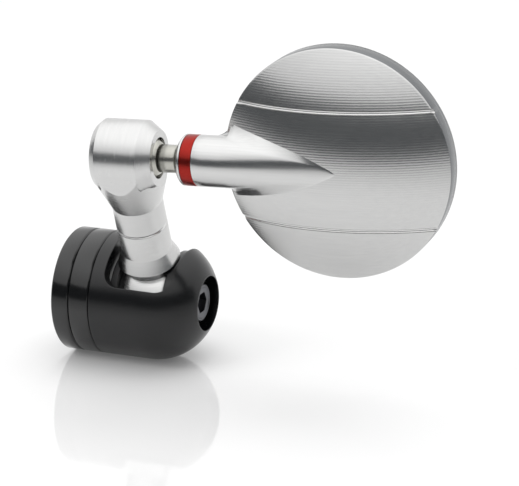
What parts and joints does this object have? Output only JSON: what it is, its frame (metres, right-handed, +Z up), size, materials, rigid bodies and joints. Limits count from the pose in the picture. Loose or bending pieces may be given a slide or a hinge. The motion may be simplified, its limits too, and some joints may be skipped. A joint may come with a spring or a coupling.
{
  "type": "motorcycle mirror",
  "caption": "Round bar-end motorcycle mirror with a domed machined back, a ball-jointed arm, a turning stem and a windowed clamp housing for the end of the handlebar.",
  "frame": {"origin": "centre of the bar thread at the face that meets the end of the handlebar", "axes": "+X along the handlebar, outwards; +Z up; the mirror looks along +Y"},
  "size_m": [0.1051, 0.0424, 0.0888],
  "materials": {
    "black_anodised": "satin black anodised",
    "steel": "turned",
    "bearing_plastic": "moulded",
    "silver_anodised": "machined, clear anodised",
    "red_anodised": "red anodised",
    "mirror_glass": "polished",
    "foam_tape": "matte foam"
  },
  "bodies": {
    "housing": {"bar_adapter_ring": "black_anodised", "clamp_ring": "black_anodised", "pivot_housing": "black_anodised", "clamp_washer": "steel", "clamp_bolt": "steel", "friction_washer": "bearing_plastic"},
    "lower_stem": {"pivot_eye": "silver_anodised", "eye_bush": "bearing_plastic"},
    "ball_head": {"upper_stem": "silver_anodised", "swivel_set_screw": "steel", "preload_plug": "silver_anodised", "disc_spring": "steel", "back_seat_cup": "bearing_plastic", "front_seat_ring": "bearing_plastic"},
    "joint_ball": {"ball": "steel"},
    "stud": {"ball_stud": "steel"},
    "mirror": {"end_ferrule": "silver_anodised", "accent_ring": "red_anodised", "mirror_body": "silver_anodised", "mirror_glass": "mirror_glass", "adhesive_pad": "foam_tape"}
  },
  "joints": [
    {"name": "stem_swing", "type": "hinge", "parent": "housing", "child": "lower_stem", "pos_m": [0.02287, 0, 0], "axis": [1, 0, 0], "range_deg": [-57, 13]},
    {"name": "stem_swivel", "type": "hinge", "parent": "lower_stem", "child": "ball_head", "pos_m": [0.02287, -0.00903, 0.02235], "axis": [0, -0.3746, 0.9272], "continuous": true},
    {"name": "ball_yaw", "type": "hinge", "parent": "ball_head", "child": "joint_ball", "pos_m": [0.02746, -0.01653, 0.04178], "axis": [-0.0401, -0.0436, 0.9982], "range_deg": [-9, 16]},
    {"name": "ball_pitch", "type": "hinge", "parent": "joint_ball", "child": "stud", "pos_m": [0.02746, -0.01653, 0.04178], "axis": [0.0018, -0.999, -0.0436], "range_deg": [-12, 12]},
    {"name": "mirror_spin", "type": "hinge", "parent": "stud", "child": "mirror", "pos_m": [0.02746, -0.01653, 0.04178], "axis": [0.9992, 0, 0.0401], "continuous": true}
  ]
}
